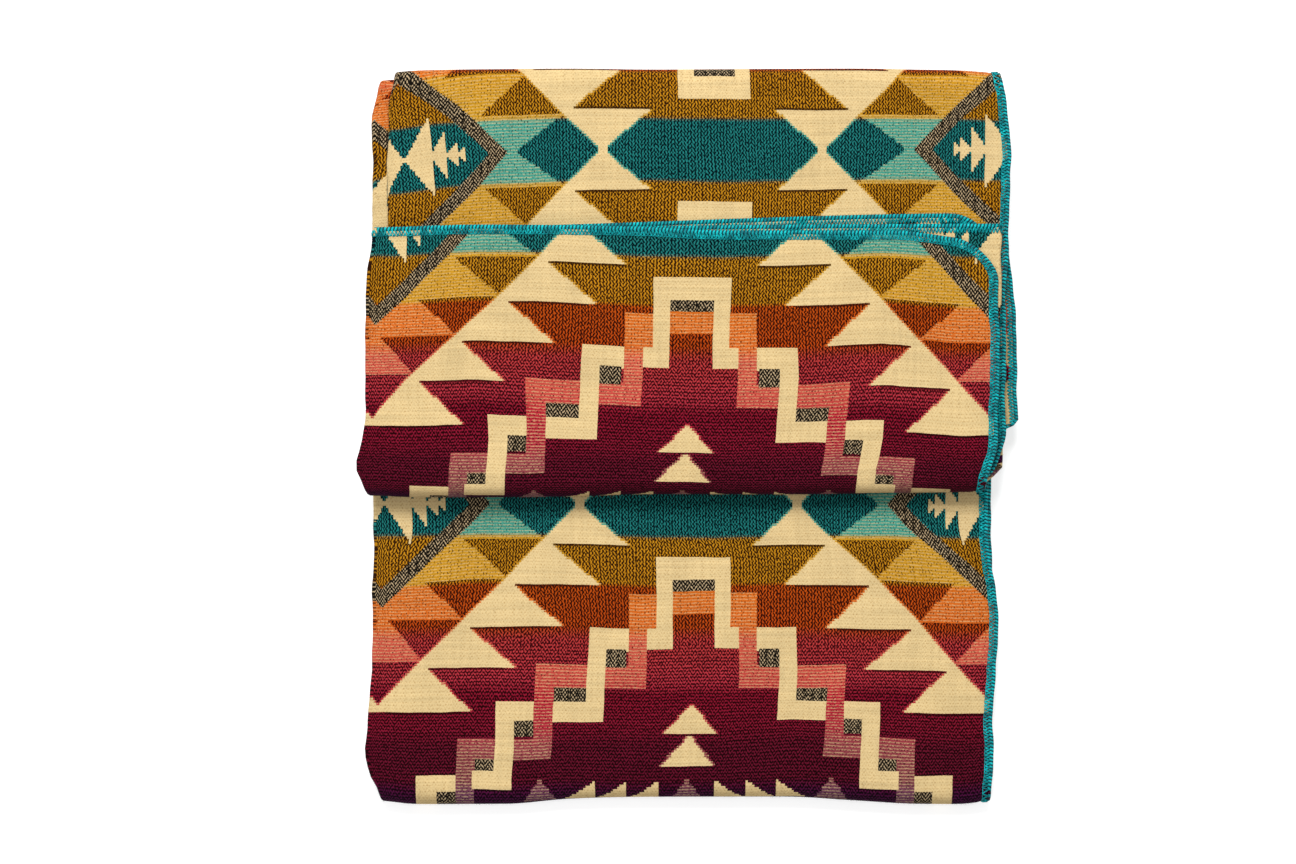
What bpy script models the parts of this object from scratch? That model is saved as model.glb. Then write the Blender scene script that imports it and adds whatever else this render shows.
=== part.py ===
"""Alpaca blanket, folded: one woven cloth with an overlock edging all round.

The flat cloth is modelled first, then folded by a function. Across its width it goes back and forth
in four layers. That pack of layers then goes back and forth along the length in four panels.
Metres, +Z up, +X to the right and +Y away from the viewer. The blanket rests on z = 0.
Sizes below are in millimetres.
"""

import math

import bmesh
import bpy

MM = 0.001

# The cloth and its edging
CLOTH_THICK = 2.7
PRESSED_THICK = 1.4  # under the edging
EDGING_WIDE = 8.0
SWELL_END = 12.0  # the cloth has its full thickness this far in from its edge
CORNER_RADIUS = 42.0
GAP = 0.3
EDGING_HALF = 1.4  # half of the edging's outer thickness
EDGING_RIM = 0.8  # how far the edging stands out past the cloth's edge, and half its rim's flat
RIM_BEND = 0.2  # where the edging's face turns into its rim

# The folds
PITCH = 3.5  # from layer to layer, centre to centre
LAYERS = 4
PACK_MIDDLE = (LAYERS - 1) * PITCH / 2  # the pack's middle, above its lowest layer
FOLD_RADIUS = PITCH / 2
ROLL_RADIUS = LAYERS * PITCH / 2
FOLD_REACH = FOLD_RADIUS + CLOTH_THICK / 2  # a side fold's centre to its outermost point
ROLL_REACH = ROLL_RADIUS + PACK_MIDDLE + CLOTH_THICK / 2
FOLD_STEPS = 6
ROLL_STEPS = 7
FLAT_STEPS = 5
LOWEST = CLOTH_THICK / 2  # the bottom layer's middle, above the surface

# The panels' ends along Y, at the middle of the rolls that join them
FLAP_END = 187.0
ROLL_Y = -52.8 + ROLL_REACH
TOP_FOLD_Y = 341.5 - ROLL_REACH
BOTTOM_FOLD_Y = -338.0 + ROLL_REACH
UNDER_END = 315.0

# The five lines that run the length of the cloth, where they lie across the folded blanket:
# panel, y, first edge, first fold (left), second fold (right), third fold (left), last edge
SIDE_LINES = (
    ("flap", 146.0, 285.0, -295.4, 289.0, -291.0, 284.0),
    ("flap", 109.0, 286.0, -298.2, 288.0, -293.0, 284.0),
    ("flap", 35.0, 285.5, -297.2, 284.0, -292.0, 283.0),
    ("flap", -6.5, 283.5, -301.9, 281.0, -295.0, 281.0),
    ("flap", -27.0, 279.5, -305.6, 278.0, -298.0, 278.5),
    ("middle", -30.0, 284.0, -292.0, 291.0, -283.0, 284.0),
    ("middle", 4.0, 288.0, -291.0, 291.5, -281.0, 292.6),
    ("middle", 13.0, 305.2, -290.5, 291.0, -280.5, 293.0),
    ("middle", 86.0, 303.7, -290.0, 289.0, -279.0, 293.0),
    ("middle", 137.0, 301.9, -291.0, 289.0, -278.5, 293.5),
    ("middle", 180.0, 294.5, -292.0, 289.5, -277.8, 295.4),
    ("middle", 245.0, 291.0, -292.6, 289.0, -278.0, 297.5),
    ("middle", 300.0, 290.0, -292.4, 288.5, -277.5, 296.0),
    ("lower", 300.0, 285.0, -289.0, 281.0, -286.0, 283.0),
    ("lower", 130.0, 284.0, -290.0, 280.0, -287.0, 281.0),
    ("lower", -50.0, 277.8, -291.7, 278.0, -288.0, 281.5),
    ("lower", -113.0, 279.7, -292.2, 278.5, -288.5, 281.8),
    ("lower", -164.0, 288.0, -292.8, 279.0, -289.0, 280.0),
    ("lower", -235.0, 283.4, -294.5, 279.0, -289.5, 279.5),
    ("lower", -289.0, 282.4, -300.0, 279.5, -291.0, 279.0),
    ("lower", -311.0, 282.0, -295.6, 279.5, -290.0, 279.0),
    ("under", -290.0, 280.0, -291.0, 277.0, -288.0, 279.0),
    ("under", -120.0, 279.0, -289.0, 276.0, -286.0, 278.5),
    ("under", 90.0, 280.0, -288.0, 277.0, -286.0, 278.0),
    ("under", 250.0, 281.0, -287.0, 278.0, -285.0, 279.0),
)
# The same lines where the pack turns over and at its two ends:
# place, first edge, first fold, second fold, third fold, last edge
TURN_LINES = {
    "flap end": (285.0, -291.7, 290.0, -288.0, 283.0),
    "roll": (273.5, -296.0, 271.0, -291.0, 272.5),
    "top fold": (286.0, -286.0, 285.0, -271.5, 288.5),
    "bottom fold": (280.6, -285.5, 277.0, -283.0, 278.0),
    "under end": (282.0, -288.0, 279.0, -286.0, 280.0),
}
# How far the cut end lies beyond the flap's end, as it isn't quite level: s, how far
END_STAGGER = (
    (0.0, -7.0),
    (42.0, -2.5),
    (95.0, 3.5),
    (250.0, 3.7),
    (340.0, 7.5),
    (480.0, 9.0),
    (577.7, 6.5),
    (1160.3, 10.0),
    (1731.7, 6.5),
    (2304.5, 20.0),
)
# How far the turned edges wander along Y: x, roll, top fold, bottom fold
TURN_WANDER = (
    (-295.0, -0.4, -3.2, 0.8),
    (-250.0, -1.9, -0.6, -2.8),
    (-170.0, -1.9, 0.8, -2.6),
    (-110.0, -1.2, 1.2, 2.2),
    (-35.0, 0.9, 0.4, 4.0),
    (90.0, 0.7, 1.0, 4.2),
    (150.0, 1.4, 1.2, 1.0),
    (215.0, 2.4, 0.2, -2.6),
    (250.0, 2.8, -0.4, -2.8),
    (290.0, 3.4, -2.6, 0.6),
)
WANDER_FADE = 120.0
# Where the pack stands higher or lower than its mean: x, y, how far it spreads, share of the height
RISES = (
    (-250.0, -25.0, 70.0, 0.045),
    (30.0, -40.0, 60.0, 0.03),
    (230.0, -30.0, 60.0, 0.02),
    (-120.0, 90.0, 90.0, -0.035),
    (120.0, 120.0, 90.0, 0.02),
    (-60.0, 250.0, 80.0, -0.025),
    (190.0, 300.0, 70.0, 0.035),
    (-230.0, 320.0, 70.0, 0.03),
    (-150.0, -190.0, 90.0, -0.03),
    (110.0, -230.0, 100.0, 0.03),
    (0.0, -320.0, 70.0, 0.03),
    (-270.0, -290.0, 60.0, 0.035),
    (265.0, -170.0, 50.0, -0.04),
)

# The cloth laid flat: s across from the first edge, t along from the flap's end
LAYER_RUNS = (575.0, 577.0, 566.0, 570.0)
FOLD_LENGTH = math.pi * FOLD_RADIUS
ROLL_LENGTH = math.pi * ROLL_RADIUS
PANEL_RUNS = {
    "flap": FLAP_END - ROLL_Y,
    "middle": TOP_FOLD_Y - ROLL_Y,
    "lower": TOP_FOLD_Y - BOTTOM_FOLD_Y,
    "under": UNDER_END - BOTTOM_FOLD_Y,
}
CLOTH_WIDE = sum(LAYER_RUNS) + (LAYERS - 1) * FOLD_LENGTH
CLOTH_LONG = sum(PANEL_RUNS.values()) + (len(PANEL_RUNS) - 1) * ROLL_LENGTH
EDGE_STEPS = (0.0, EDGING_WIDE, SWELL_END, (SWELL_END + CORNER_RADIUS) / 2, CORNER_RADIUS)
PANEL_START = {
    "flap": 0.0,
    "middle": PANEL_RUNS["flap"] + ROLL_LENGTH,
    "lower": PANEL_RUNS["flap"] + PANEL_RUNS["middle"] + 2 * ROLL_LENGTH,
    "under": CLOTH_LONG - PANEL_RUNS["under"],
}


def along(panel, y):
    """How far along the flat cloth a place on a panel is."""
    start_y = {
        "flap": FLAP_END,
        "middle": ROLL_Y,
        "lower": TOP_FOLD_Y,
        "under": BOTTOM_FOLD_Y,
    }[panel]
    return PANEL_START[panel] + abs(y - start_y)


def line_rows():
    """Every row of the side lines as (t, five places across), in order along the cloth."""
    turns = (
        (0.0, "flap end"),
        (PANEL_START["middle"] - ROLL_LENGTH / 2, "roll"),
        (PANEL_START["lower"] - ROLL_LENGTH / 2, "top fold"),
        (PANEL_START["under"] - ROLL_LENGTH / 2, "bottom fold"),
        (CLOTH_LONG, "under end"),
    )
    rows = [(t, TURN_LINES[place]) for t, place in turns]
    rows += [(along(panel, y), places) for panel, y, *places in SIDE_LINES]
    return sorted(rows, key=lambda row: row[0])


LINE_ROWS = line_rows()


def blend(value, rows, column):
    """The value of a column at a place between a table's rows, on straight lines."""
    for before, after in zip(rows, rows[1:]):
        if value <= after[0]:
            break
    share = (value - before[0]) / (after[0] - before[0])
    share = min(max(share, 0.0), 1.0)
    return before[column] + (after[column] - before[column]) * share


def lines_at(t):
    """Where the five lines lie across the blanket, this far along the cloth."""
    rows = [(row_t, *places) for row_t, places in LINE_ROWS]
    return [blend(t, rows, column) for column in range(1, LAYERS + 2)]


def across(s, w, lines):
    """x and height of a point on the cloth, across the pack: s along the cloth, w out of its face."""
    start = 0.0
    for layer, run in enumerate(LAYER_RUNS):
        side = -1 if layer % 2 == 0 else 1  # which way this layer runs
        height = (LAYERS - 1 - layer) * PITCH
        first = lines[layer] + (side * FOLD_REACH if layer else 0.0)
        last = lines[layer + 1] - (side * FOLD_REACH if layer < LAYERS - 1 else 0.0)
        if s <= start + run or layer == LAYERS - 1:
            return first + (last - first) * (s - start) / run, height - side * w
        start += run
        if s < start + FOLD_LENGTH:
            turn = (s - start) / FOLD_RADIUS
            radius = FOLD_RADIUS - side * w
            return last + side * radius * math.sin(turn), height - FOLD_RADIUS + radius * math.cos(turn)
        start += FOLD_LENGTH


def lengthwise(t, height):
    """y and z of a point that lies at a height in the pack, this far along the cloth."""
    offset = height - PACK_MIDDLE
    turns = (
        ("flap", FLAP_END, -1),
        ("middle", ROLL_Y, 1),
        ("lower", TOP_FOLD_Y, -1),
        ("under", BOTTOM_FOLD_Y, 1),
    )
    for level, (panel, start_y, way) in zip((3, 2, 1, 0), turns):
        z = LOWEST + PACK_MIDDLE + level * LAYERS * PITCH
        run = t - PANEL_START[panel]
        if run <= PANEL_RUNS[panel] or level == 0:
            return start_y + way * run, z - way * offset
        run -= PANEL_RUNS[panel]
        if run < ROLL_LENGTH:
            turn = run / ROLL_RADIUS
            radius = ROLL_RADIUS - way * offset
            end_y = start_y + way * PANEL_RUNS[panel]
            return end_y + way * radius * math.sin(turn), z - ROLL_RADIUS + radius * math.cos(turn)


def stagger(s, t):
    """How far the flap's end is drawn out or back here, none at its roll."""
    if t >= PANEL_RUNS["flap"]:
        return 0.0
    return blend(s, END_STAGGER, 1) * (1.0 - t / PANEL_RUNS["flap"])


def wander(x, t):
    """How far the nearest turned edge wanders along y."""
    moved = 0.0
    for column, panel in enumerate(("middle", "lower", "under"), start=1):
        distance = abs(t - (PANEL_START[panel] - ROLL_LENGTH / 2))
        if distance < WANDER_FADE:
            fade = 0.5 + 0.5 * math.cos(math.pi * distance / WANDER_FADE)
            moved += blend(x, TURN_WANDER, column) * fade
    return moved


def rise(x, y):
    """The pack's height here, as a share of its mean height."""
    share = 1.0
    for rise_x, rise_y, spread, amount in RISES:
        share += amount * math.exp(-((x - rise_x) ** 2 + (y - rise_y) ** 2) / spread**2)
    return share


def folded(s, t, w):
    """Where a point of the flat cloth lies on the folded blanket, in metres."""
    x, height = across(s, w, lines_at(t))
    y, z = lengthwise(t, height)
    y += stagger(s, t) + wander(x, t)
    return x * MM, y * MM, z * rise(x, y) * MM


def inset(s, t):
    """How far a point of the flat cloth lies in from its edge."""
    return min(s, CLOTH_WIDE - s, t, CLOTH_LONG - t)


def rounded(s, t):
    """The flat cloth's corners made round: each ring of the grid there becomes an arc."""
    near_s, near_t = min(s, CLOTH_WIDE - s), min(t, CLOTH_LONG - t)
    if max(near_s, near_t) >= CORNER_RADIUS:
        return s, t
    ring = min(near_s, near_t)
    turn = math.radians(45) * (CORNER_RADIUS - max(near_s, near_t)) / (CORNER_RADIUS - ring)
    if near_t < near_s:
        turn = math.radians(90) - turn
    new_s = CORNER_RADIUS - (CORNER_RADIUS - ring) * math.cos(turn)
    new_t = CORNER_RADIUS - (CORNER_RADIUS - ring) * math.sin(turn)
    s = new_s if s < CLOTH_WIDE / 2 else CLOTH_WIDE - new_s
    t = new_t if t < CLOTH_LONG / 2 else CLOTH_LONG - new_t
    return s, t


def spread(first, last, steps):
    """Evenly spaced places between two, without the first."""
    return [first + (last - first) * step / steps for step in range(1, steps + 1)]


def columns():
    """The grid's lines across the cloth: close at the edges and folds, wide between them."""
    places = list(EDGE_STEPS)
    start = 0.0
    for layer, run in enumerate(LAYER_RUNS):
        last = layer == LAYERS - 1
        places += spread(places[-1], start + run - (CORNER_RADIUS if last else 0.0), FLAT_STEPS)
        start += run
        if not last:
            places += spread(start, start + FOLD_LENGTH, FOLD_STEPS)
            start += FOLD_LENGTH
    return places + [CLOTH_WIDE - step for step in reversed(EDGE_STEPS[:-1])]


def rows():
    """The grid's lines along the cloth: one for each row of the tables, and the turns' own steps."""
    places = list(EDGE_STEPS) + [along(panel, y) for panel, y, *_ in SIDE_LINES]
    for panel in ("middle", "lower", "under"):
        start = PANEL_START[panel] - ROLL_LENGTH
        places += [start] + spread(start, PANEL_START[panel], ROLL_STEPS)
    return sorted(set(places)) + [CLOTH_LONG - step for step in reversed(EDGE_STEPS)]


ROW_KEY = 10000  # tells the rows of a new grid apart


def grid(wide, long):
    """A new bmesh that holds an open grid with this many points each way, and its points in order."""
    shape = bmesh.new()
    made = bmesh.ops.create_grid(shape, x_segments=wide - 1, y_segments=long - 1, size=1)
    points = sorted(made["verts"], key=lambda v: (round(v.co.y * ROW_KEY), v.co.x))
    return shape, points


def fold_up(shape, name, colour, roughness):
    """A closed shape in the flat cloth's s, t and w becomes a folded object with its own material."""
    bmesh.ops.recalc_face_normals(shape, faces=shape.faces)
    for point in shape.verts:
        point.co = folded(*point.co)
    mesh = bpy.data.meshes.new(name)
    shape.to_mesh(mesh)
    shape.free()
    material = bpy.data.materials.new(name)
    material.use_nodes = True
    surface = material.node_tree.nodes["Principled BSDF"]
    surface.inputs["Base Color"].default_value = (*colour, 1.0)
    surface.inputs["Roughness"].default_value = roughness
    surface.inputs["Metallic"].default_value = 0.0
    mesh.materials.append(material)
    blanket.objects.link(bpy.data.objects.new(name, mesh))


def woven_cloth():
    """The cloth: a flat grid given its thickness and its round corners, then folded."""
    across_places, along_places = columns(), rows()
    shape, points = grid(len(across_places), len(along_places))
    for index, point in enumerate(points):
        row, column = divmod(index, len(across_places))
        point.co = (across_places[column], along_places[row], -1.0)
    made = bmesh.ops.extrude_face_region(shape, geom=shape.faces[:], use_keep_orig=True)
    front = [item for item in made["geom"] if isinstance(item, bmesh.types.BMVert)]
    bmesh.ops.translate(shape, verts=front, vec=(0.0, 0.0, 2.0))
    for point in shape.verts:
        s, t, face = point.co
        swell = min(max((inset(s, t) - EDGING_WIDE) / (SWELL_END - EDGING_WIDE), 0.0), 1.0)
        half = (PRESSED_THICK + (CLOTH_THICK - PRESSED_THICK) * swell) / 2
        point.co = (*rounded(s, t), half * face)
    fold_up(shape, "woven_cloth", (0.42, 0.20, 0.10), 0.95)


WELD = 0.001  # points this near each other become one


def overlock_edging():
    """The edging: a channel of thread that wraps the cloth's edge, closed all the way round."""
    pressed = PRESSED_THICK / 2 + GAP
    channel = (
        (EDGING_WIDE, pressed),
        (EDGING_WIDE, EDGING_HALF),
        (-RIM_BEND, EDGING_HALF),
        (-EDGING_RIM, EDGING_RIM),
        (-EDGING_RIM, -EDGING_RIM),
        (-RIM_BEND, -EDGING_HALF),
        (EDGING_WIDE, -EDGING_HALF),
        (EDGING_WIDE, -pressed),
        (-GAP, -pressed),
        (-GAP, pressed),
    )
    wide, long = columns(), rows()
    first_side = [(0.0, t) for t in reversed(long)]
    flap_end = [(s, 0.0) for s in wide[1:]]
    last_side = [(CLOTH_WIDE, t) for t in long[1:]]
    under_end = [(s, CLOTH_LONG) for s in reversed(wide[:-1])]
    way_round = first_side + flap_end + last_side + under_end
    shape, points = grid(len(channel) + 1, len(way_round))
    for index, point in enumerate(points):
        station, corner = divmod(index, len(channel) + 1)
        s, t = way_round[station]
        inward, w = channel[corner % len(channel)]
        edge_s, edge_t = rounded(s, t)
        centre_s = min(max(s, CORNER_RADIUS), CLOTH_WIDE - CORNER_RADIUS)
        centre_t = min(max(t, CORNER_RADIUS), CLOTH_LONG - CORNER_RADIUS)
        to_centre = (centre_s - edge_s, centre_t - edge_t)
        share = inward / math.hypot(*to_centre)
        point.co = (edge_s + to_centre[0] * share, edge_t + to_centre[1] * share, w)
    bmesh.ops.remove_doubles(shape, verts=shape.verts, dist=WELD)
    fold_up(shape, "overlock_edging", (0.02, 0.36, 0.42), 0.8)


for old in list(bpy.data.objects):
    bpy.data.objects.remove(old, do_unlink=True)
blanket = bpy.data.collections.new("alpaca_blanket")
bpy.context.scene.collection.children.link(blanket)
woven_cloth()
overlock_edging()
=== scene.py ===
"""A folded alpaca blanket on a pale studio floor, dressed over the solids of its frame.

One woven cloth goes back and forth in four layers across its width, and that pack goes back and forth
along its length. Sizes are in millimetres and become metres when a mesh is made.
"""
import math
from functools import partial

import bmesh
import bpy
import numpy as np
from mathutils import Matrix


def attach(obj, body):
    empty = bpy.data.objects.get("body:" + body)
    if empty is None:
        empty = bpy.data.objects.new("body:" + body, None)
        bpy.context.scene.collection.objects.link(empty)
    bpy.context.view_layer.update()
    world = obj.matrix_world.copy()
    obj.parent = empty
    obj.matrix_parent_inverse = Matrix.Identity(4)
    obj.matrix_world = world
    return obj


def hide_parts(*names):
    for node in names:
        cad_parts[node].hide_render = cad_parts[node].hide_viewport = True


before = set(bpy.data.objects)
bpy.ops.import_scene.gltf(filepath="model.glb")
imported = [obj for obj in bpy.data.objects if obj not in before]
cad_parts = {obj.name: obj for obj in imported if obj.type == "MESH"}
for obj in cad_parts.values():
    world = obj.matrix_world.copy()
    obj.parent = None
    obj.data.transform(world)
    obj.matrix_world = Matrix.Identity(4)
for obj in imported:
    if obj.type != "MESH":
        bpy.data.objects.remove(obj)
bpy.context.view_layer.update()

# The woven cloth
# One piece of brushed alpaca, woven in a jacquard with two sets of yarn, about 2.7 mm thick with its
# nap. It is folded by a function that takes a place on the flat cloth to its place in the pack.

MM = 0.001
CLOTH_THICK = 2.7
PRESSED_THICK = 1.4  # where the edging's thread holds the cloth flat
EDGING_WIDE = 8.0
SWELL_END = 12.0
CORNER_RADIUS = 42.0
PITCH = 3.5  # from layer to layer, centre to centre
LAYERS = 4
FOLD_RADIUS = PITCH / 2
ROLL_RADIUS = LAYERS * PITCH / 2
FOLD_REACH = FOLD_RADIUS + CLOTH_THICK / 2
ROLL_REACH = ROLL_RADIUS + 1.5 * PITCH + CLOTH_THICK / 2
LOWEST = CLOTH_THICK / 2
# Where the turned edges and the two ends lie along the folded blanket
ROLL_EDGE_Y, TOP_EDGE_Y, BOTTOM_EDGE_Y = -52.8, 341.5, -338.0
FLAP_END, UNDER_END = 187.0, 315.0
ROLL_Y = ROLL_EDGE_Y + ROLL_REACH
TOP_FOLD_Y = TOP_EDGE_Y - ROLL_REACH
BOTTOM_FOLD_Y = BOTTOM_EDGE_Y + ROLL_REACH

# Where the five lines that run the cloth's length lie across the folded blanket:
# panel, y, first edge, first fold (left), second fold (right), third fold (left), last edge
SIDE_LINES = (
    ("flap", 146, 285, -295.4, 289, -291, 284),
    ("flap", 109, 286, -298.2, 288, -293, 284),
    ("flap", 35, 285.5, -297.2, 284, -292, 283),
    ("flap", -6.5, 283.5, -301.9, 281, -295, 281),
    ("flap", -27, 279.5, -305.6, 278, -298, 278.5),
    ("middle", -30, 284, -292, 291, -283, 284),
    ("middle", 4, 288, -291, 291.5, -281, 292.6),
    ("middle", 13, 305.2, -290.5, 291, -280.5, 293),
    ("middle", 86, 303.7, -290, 289, -279, 293),
    ("middle", 137, 301.9, -291, 289, -278.5, 293.5),
    ("middle", 180, 294.5, -292, 289.5, -277.8, 295.4),
    ("middle", 245, 291, -292.6, 289, -278, 297.5),
    ("middle", 300, 290, -292.4, 288.5, -277.5, 296),
    ("lower", 300, 285, -289, 281, -286, 283),
    ("lower", 130, 284, -290, 280, -287, 281),
    ("lower", -50, 277.8, -291.7, 278, -288, 281.5),
    ("lower", -113, 279.7, -292.2, 278.5, -288.5, 281.8),
    ("lower", -164, 288, -292.8, 279, -289, 280),
    ("lower", -235, 283.4, -294.5, 279, -289.5, 279.5),
    ("lower", -289, 282.4, -300, 279.5, -291, 279),
    ("lower", -311, 282, -295.6, 279.5, -290, 279),
    ("under", -290, 280, -291, 277, -288, 279),
    ("under", -120, 279, -289, 276, -286, 278.5),
    ("under", 90, 280, -288, 277, -286, 278),
    ("under", 250, 281, -287, 278, -285, 279),
)
# The same lines where the pack turns over and at its two ends
TURN_LINES = {
    "flap end": (285, -291.7, 290, -288, 283),
    "roll": (273.5, -296, 271, -291, 272.5),
    "top fold": (286, -286, 285, -271.5, 288.5),
    "bottom fold": (280.6, -285.5, 277, -283, 278),
    "under end": (282, -288, 279, -286, 280),
}
# How far the cut end lies beyond the flap's end, as it isn't quite level: s, how far
END_STAGGER = (
    (0, -7),
    (42, -2.5),
    (95, 3.5),
    (250, 3.7),
    (340, 7.5),
    (480, 9),
    (577.7, 6.5),
    (1160.3, 10),
    (1731.7, 6.5),
    (2304.5, 20),
)
TURNS = ("roll", "top fold", "bottom fold")
# How far each of these turned edges wanders along Y: x, how far
TURN_WANDER = (
    (-295, -0.4, -3.2, 0.8),
    (-250, -1.9, -0.6, -2.8),
    (-170, -1.9, 0.8, -2.6),
    (-110, -1.2, 1.2, 2.2),
    (-35, 0.9, 0.4, 4),
    (90, 0.7, 1, 4.2),
    (150, 1.4, 1.2, 1),
    (215, 2.4, 0.2, -2.6),
    (250, 2.8, -0.4, -2.8),
    (290, 3.4, -2.6, 0.6),
)
WANDER_FADE = 120.0
# Where the pack stands higher or lower than its mean: x, y, how far it spreads, share of the height
RISES = (
    (-250, -25, 70, 0.045),
    (30, -40, 60, 0.03),
    (230, -30, 60, 0.02),
    (-120, 90, 90, -0.035),
    (120, 120, 90, 0.02),
    (-60, 250, 80, -0.025),
    (190, 300, 70, 0.035),
    (-230, 320, 70, 0.03),
    (-150, -190, 90, -0.03),
    (110, -230, 100, 0.03),
    (0, -320, 70, 0.03),
    (-270, -290, 60, 0.035),
    (265, -170, 50, -0.04),
)
# Fine ripples over the pack: wavelength, direction in degrees, phase, share of the height
RIPPLES = (
    (61.0, 12.0, 0.4, 0.0040),
    (47.0, 78.0, 1.9, 0.0036),
    (83.0, 131.0, 3.1, 0.0052),
    (38.0, 44.0, 5.0, 0.0026),
    (29.0, 102.0, 2.2, 0.0018),
)
# Small waves along each fold and edge: wavelength, how far the line moves
LINE_WAVES = ((29.0, 0.25), (53.0, 0.4), (89.0, 0.6))

LAYER_RUNS = (575.0, 577.0, 566.0, 570.0)
FOLD_LENGTH = math.pi * FOLD_RADIUS
ROLL_LENGTH = math.pi * ROLL_RADIUS
PANEL_FIRST_Y = {"flap": FLAP_END, "middle": ROLL_Y, "lower": TOP_FOLD_Y, "under": BOTTOM_FOLD_Y}
PANEL_RUNS = {
    "flap": FLAP_END - ROLL_Y,
    "middle": TOP_FOLD_Y - ROLL_Y,
    "lower": TOP_FOLD_Y - BOTTOM_FOLD_Y,
    "under": UNDER_END - BOTTOM_FOLD_Y,
}
PANEL_START = {
    "flap": 0.0,
    "middle": PANEL_RUNS["flap"] + ROLL_LENGTH,
    "lower": PANEL_RUNS["flap"] + PANEL_RUNS["middle"] + 2 * ROLL_LENGTH,
    "under": sum(PANEL_RUNS.values()) - PANEL_RUNS["under"] + 3 * ROLL_LENGTH,
}
CLOTH_WIDE = sum(LAYER_RUNS) + (LAYERS - 1) * FOLD_LENGTH
CLOTH_LONG = sum(PANEL_RUNS.values()) + 3 * ROLL_LENGTH
LAYER_START = [sum(LAYER_RUNS[:layer]) + layer * FOLD_LENGTH for layer in range(LAYERS)]
TURN_PLACE = {
    "flap end": 0.0,
    "roll": PANEL_START["middle"] - ROLL_LENGTH / 2,
    "top fold": PANEL_START["lower"] - ROLL_LENGTH / 2,
    "bottom fold": PANEL_START["under"] - ROLL_LENGTH / 2,
    "under end": CLOTH_LONG,
}


def along(panel, y):
    """How far along the flat cloth a place on a panel is."""
    return PANEL_START[panel] + abs(y - PANEL_FIRST_Y[panel])


line_table = [(TURN_PLACE[name], *places) for name, places in TURN_LINES.items()]
line_table += [(along(panel, y), *places) for panel, y, *places in SIDE_LINES]
line_table.sort()


def smooth_through(at, table, column=1):
    """A smooth curve through a column of a table that never swings beyond its values."""
    places, values = np.array(table)[:, [0, column]].T
    rise = np.diff(values) / np.diff(places)
    steepest = 2 * np.minimum(np.abs(rise[:-1]), np.abs(rise[1:]))
    middle = np.clip((rise[:-1] + rise[1:]) / 2, -steepest, steepest)
    slope = np.concatenate([[0.0], np.where(rise[:-1] * rise[1:] > 0, middle, 0.0), [0.0]])
    index = np.clip(np.searchsorted(places, at) - 1, 0, len(places) - 2)
    gap = places[index + 1] - places[index]
    part = np.clip((at - places[index]) / gap, 0.0, 1.0)
    start = (1 + 2 * part) * (1 - part) ** 2 * values[index] + part * (1 - part) ** 2 * gap * slope[index]
    end = part**2 * (3 - 2 * part) * values[index + 1] - part**2 * (1 - part) * gap * slope[index + 1]
    return start + end


def lines_at(t):
    """Where the five lines lie across the blanket, with small waves of their own."""
    lines = []
    for column in range(1, LAYERS + 2):
        line = smooth_through(t, line_table, column)
        for wave, (length, reach) in enumerate(LINE_WAVES):
            line = line + reach * np.sin(2 * math.pi * t / length + 1.7 * column + 2.3 * wave)
        lines.append(line)
    return lines


def across(s, w, lines):
    """x and height in the pack of a point on the cloth: s across it, w out of its face."""
    x, height = np.zeros_like(s), np.zeros_like(s)
    for layer, run in enumerate(LAYER_RUNS):
        side = -1 if layer % 2 == 0 else 1
        level = (LAYERS - 1 - layer) * PITCH
        start, end = LAYER_START[layer], LAYER_START[layer] + run
        first = lines[layer] + (side * FOLD_REACH if layer else 0.0)
        last = lines[layer + 1] - (side * FOLD_REACH if layer < LAYERS - 1 else 0.0)
        flat = (s >= start) | (layer == 0)
        flat &= (s <= end) | (layer == LAYERS - 1)
        x = np.where(flat, first + (last - first) * (s - start) / run, x)
        height = np.where(flat, level - side * w, height)
        if layer < LAYERS - 1:
            turning = (s > end) & (s < end + FOLD_LENGTH)
            turn = (s - end) / FOLD_RADIUS
            radius = FOLD_RADIUS - side * w
            x = np.where(turning, last + side * radius * np.sin(turn), x)
            height = np.where(turning, level - FOLD_RADIUS + radius * np.cos(turn), height)
    return x, height


def lengthwise(t, height):
    """y and z of a point that lies at a height in the pack: t along the cloth."""
    offset = height - (LAYERS - 1) * PITCH / 2
    y, z = np.zeros_like(t), np.zeros_like(t)
    for level, (panel, start_y) in zip((3, 2, 1, 0), PANEL_FIRST_Y.items()):
        way = -1 if level % 2 else 1
        middle = LOWEST + (LAYERS - 1) * PITCH / 2 + level * LAYERS * PITCH
        run = t - PANEL_START[panel]
        flat = (run >= 0) | (level == 3)
        flat &= (run <= PANEL_RUNS[panel]) | (level == 0)
        y = np.where(flat, start_y + way * run, y)
        z = np.where(flat, middle - way * offset, z)
        if level:
            run = run - PANEL_RUNS[panel]
            turning = (run > 0) & (run < ROLL_LENGTH)
            radius = ROLL_RADIUS - way * offset
            end_y = start_y + way * PANEL_RUNS[panel]
            y = np.where(turning, end_y + way * radius * np.sin(run / ROLL_RADIUS), y)
            z = np.where(turning, middle - ROLL_RADIUS + radius * np.cos(run / ROLL_RADIUS), z)
    return y, z


def pack_height(x, y):
    """The pack's height here as a share of its mean, with its slow rises and its ripples."""
    share = np.ones_like(x)
    for rise_x, rise_y, spread, amount in RISES:
        share += amount * np.exp(-((x - rise_x) ** 2 + (y - rise_y) ** 2) / spread**2)
    for length, turn, phase, amount in RIPPLES:
        way = x * math.cos(math.radians(turn)) + y * math.sin(math.radians(turn))
        bend = 0.6 * np.sin((x - y) / 97.0 + phase)
        share += amount * np.sin(2 * math.pi * way / length + phase + bend)
    return share


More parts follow.
